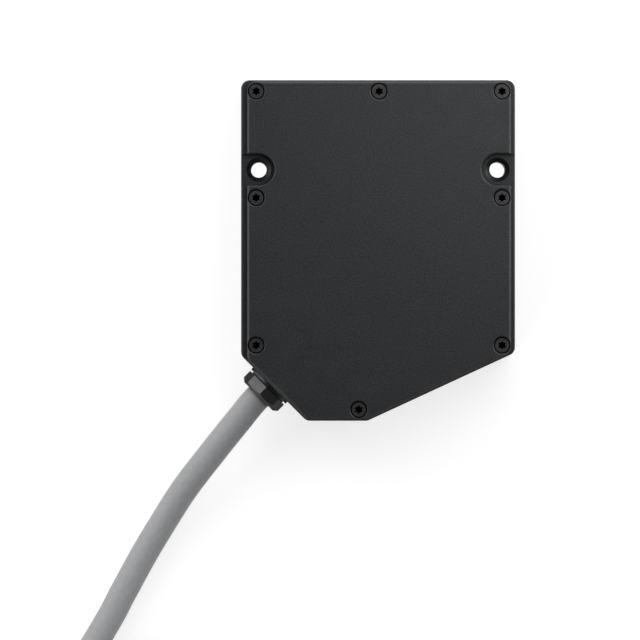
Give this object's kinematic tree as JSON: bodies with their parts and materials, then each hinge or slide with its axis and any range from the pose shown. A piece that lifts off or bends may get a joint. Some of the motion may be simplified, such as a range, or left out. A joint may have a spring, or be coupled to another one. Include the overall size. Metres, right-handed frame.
{
  "type": "laser displacement sensor",
  "caption": "Flat black sensor housing with a screwed cover, side mounting pockets, optical windows in its front edge and a fixed grey cable that ends in a round plug.",
  "frame": {"origin": "middle of the housing's flat back face", "axes": "+X across the housing, +Y towards the optical front face, +Z from the back face to the cover"},
  "size_m": [0.1612, 0.2902, 0.03],
  "materials": {
    "body_paint": "fine matte black powder coat",
    "seal_rubber": "matte black rubber",
    "black_steel": "black oxide, satin",
    "window_glass": "dark polished filter glass",
    "black_aluminium": "black anodised",
    "lens_glass": "polished and coated",
    "filter_glass": "dark red interference filter",
    "diode_metal": "gold plated",
    "bare_aluminium": "fine milled",
    "bright_steel": "zinc plated",
    "board_laminate": "green solder mask",
    "connector_plastic": "natural moulded plastic",
    "chip_plastic": "moulded black epoxy",
    "passive_ceramic": "ceramic with tinned ends",
    "core_plastic": "smooth insulation",
    "black_plastic": "fine moulded grain",
    "gland_metal": "black plated, satin",
    "cable_jacket": "matte grey cable jacket",
    "strap_fabric": "woven hook and loop strap",
    "plug_metal": "nickel plated, satin",
    "contact_gold": "gold plated"
  },
  "bodies": {
    "root": {"housing": "body_paint", "cover": "body_paint", "cover_gasket": "seal_rubber", "laser_window_seal": "seal_rubber", "receiver_window_seal": "seal_rubber", "gland_washer": "seal_rubber", "gland_seal": "seal_rubber", "plug_seal": "seal_rubber", "cover_screws": "black_steel", "laser_window": "window_glass", "receiver_window": "window_glass", "laser_barrel": "black_aluminium", "receiver_barrel": "black_aluminium", "lens_retainer": "black_aluminium", "receiver_retainer": "black_aluminium", "lens_spacer": "black_aluminium", "collimator_lens": "lens_glass", "receiver_front_lens": "lens_glass", "receiver_rear_lens": "lens_glass", "bandpass_filter": "filter_glass", "laser_diode": "diode_metal", "laser_block": "bare_aluminium", "receiver_cradle": "bare_aluminium", "receiver_strap": "bare_aluminium", "sensor_bracket": "bare_aluminium", "laser_set_screw": "bright_steel", "inner_screws": "bright_steel", "receiver_screws": "bright_steel", "main_board": "board_laminate", "laser_board": "board_laminate", "sensor_board": "board_laminate", "laser_link": "connector_plastic", "sensor_link": "connector_plastic", "cable_header": "connector_plastic", "image_sensor": "chip_plastic", "board_chips": "chip_plastic", "board_passives": "passive_ceramic", "cable_cores": "core_plastic", "light_baffle": "black_plastic", "plug_body": "black_plastic", "plug_insert": "black_plastic", "gland_body": "gland_metal", "gland_nut": "gland_metal", "gland_locknut": "gland_metal", "cable": "cable_jacket", "cable_coil": "cable_jacket", "cable_end": "cable_jacket", "cable_tail": "cable_jacket", "coil_ties": "strap_fabric", "plug_ring": "plug_metal", "plug_pins": "contact_gold"}
  },
  "joints": []
}
